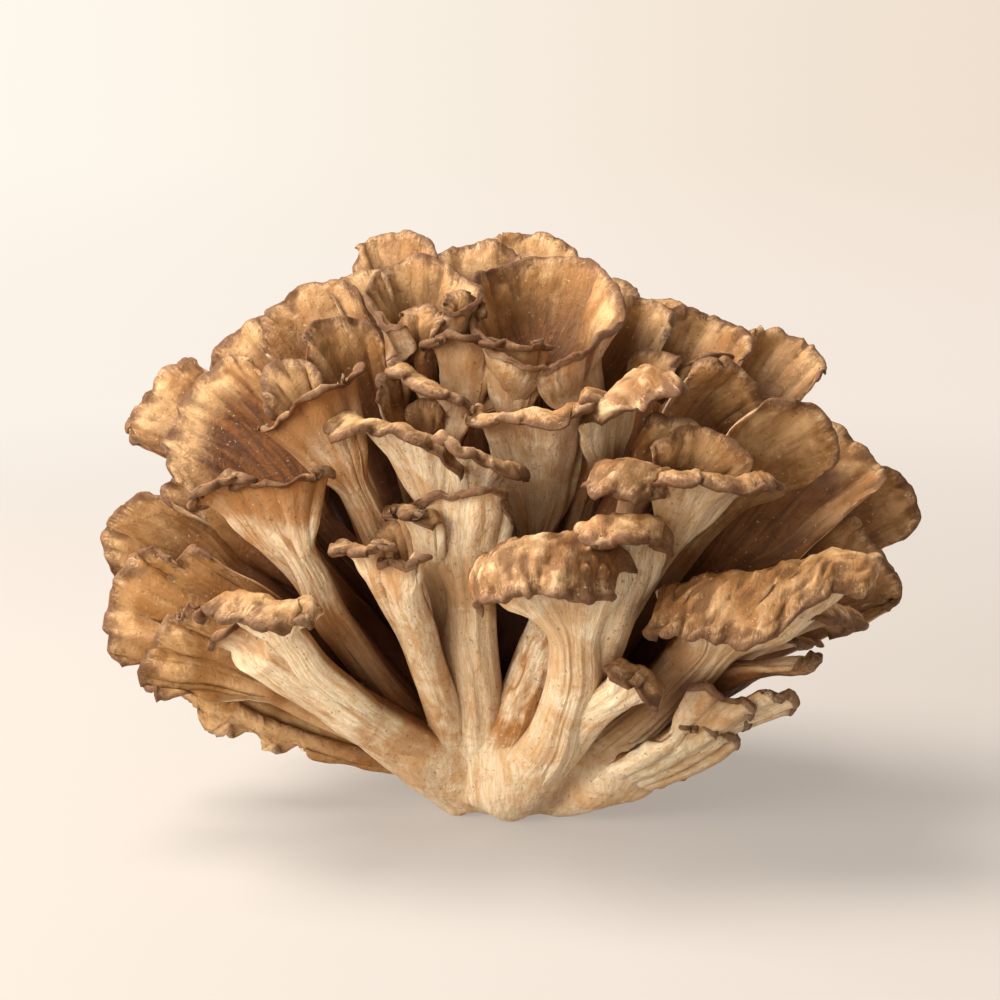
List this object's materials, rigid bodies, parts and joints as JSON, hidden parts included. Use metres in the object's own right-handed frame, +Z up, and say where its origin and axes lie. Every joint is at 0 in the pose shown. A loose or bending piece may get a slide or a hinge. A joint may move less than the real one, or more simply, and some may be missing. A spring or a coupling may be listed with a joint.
{
  "type": "maitake mushroom",
  "caption": "Fresh maitake mushroom: a frilled cluster of overlapping fan-shaped brown caps on pale branching stems that rise from one solid base.",
  "frame": {"origin": "on the flat spot under the solid base, at the height of the table", "axes": "+Z up out of the base, +X along the widest direction of the cluster, -Y towards the side with the tall front stems"},
  "size_m": [0.2026, 0.1608, 0.1414],
  "materials": {
    "flesh": "matte"
  },
  "bodies": {
    "root": {"maitake_cluster": "flesh"}
  },
  "joints": []
}
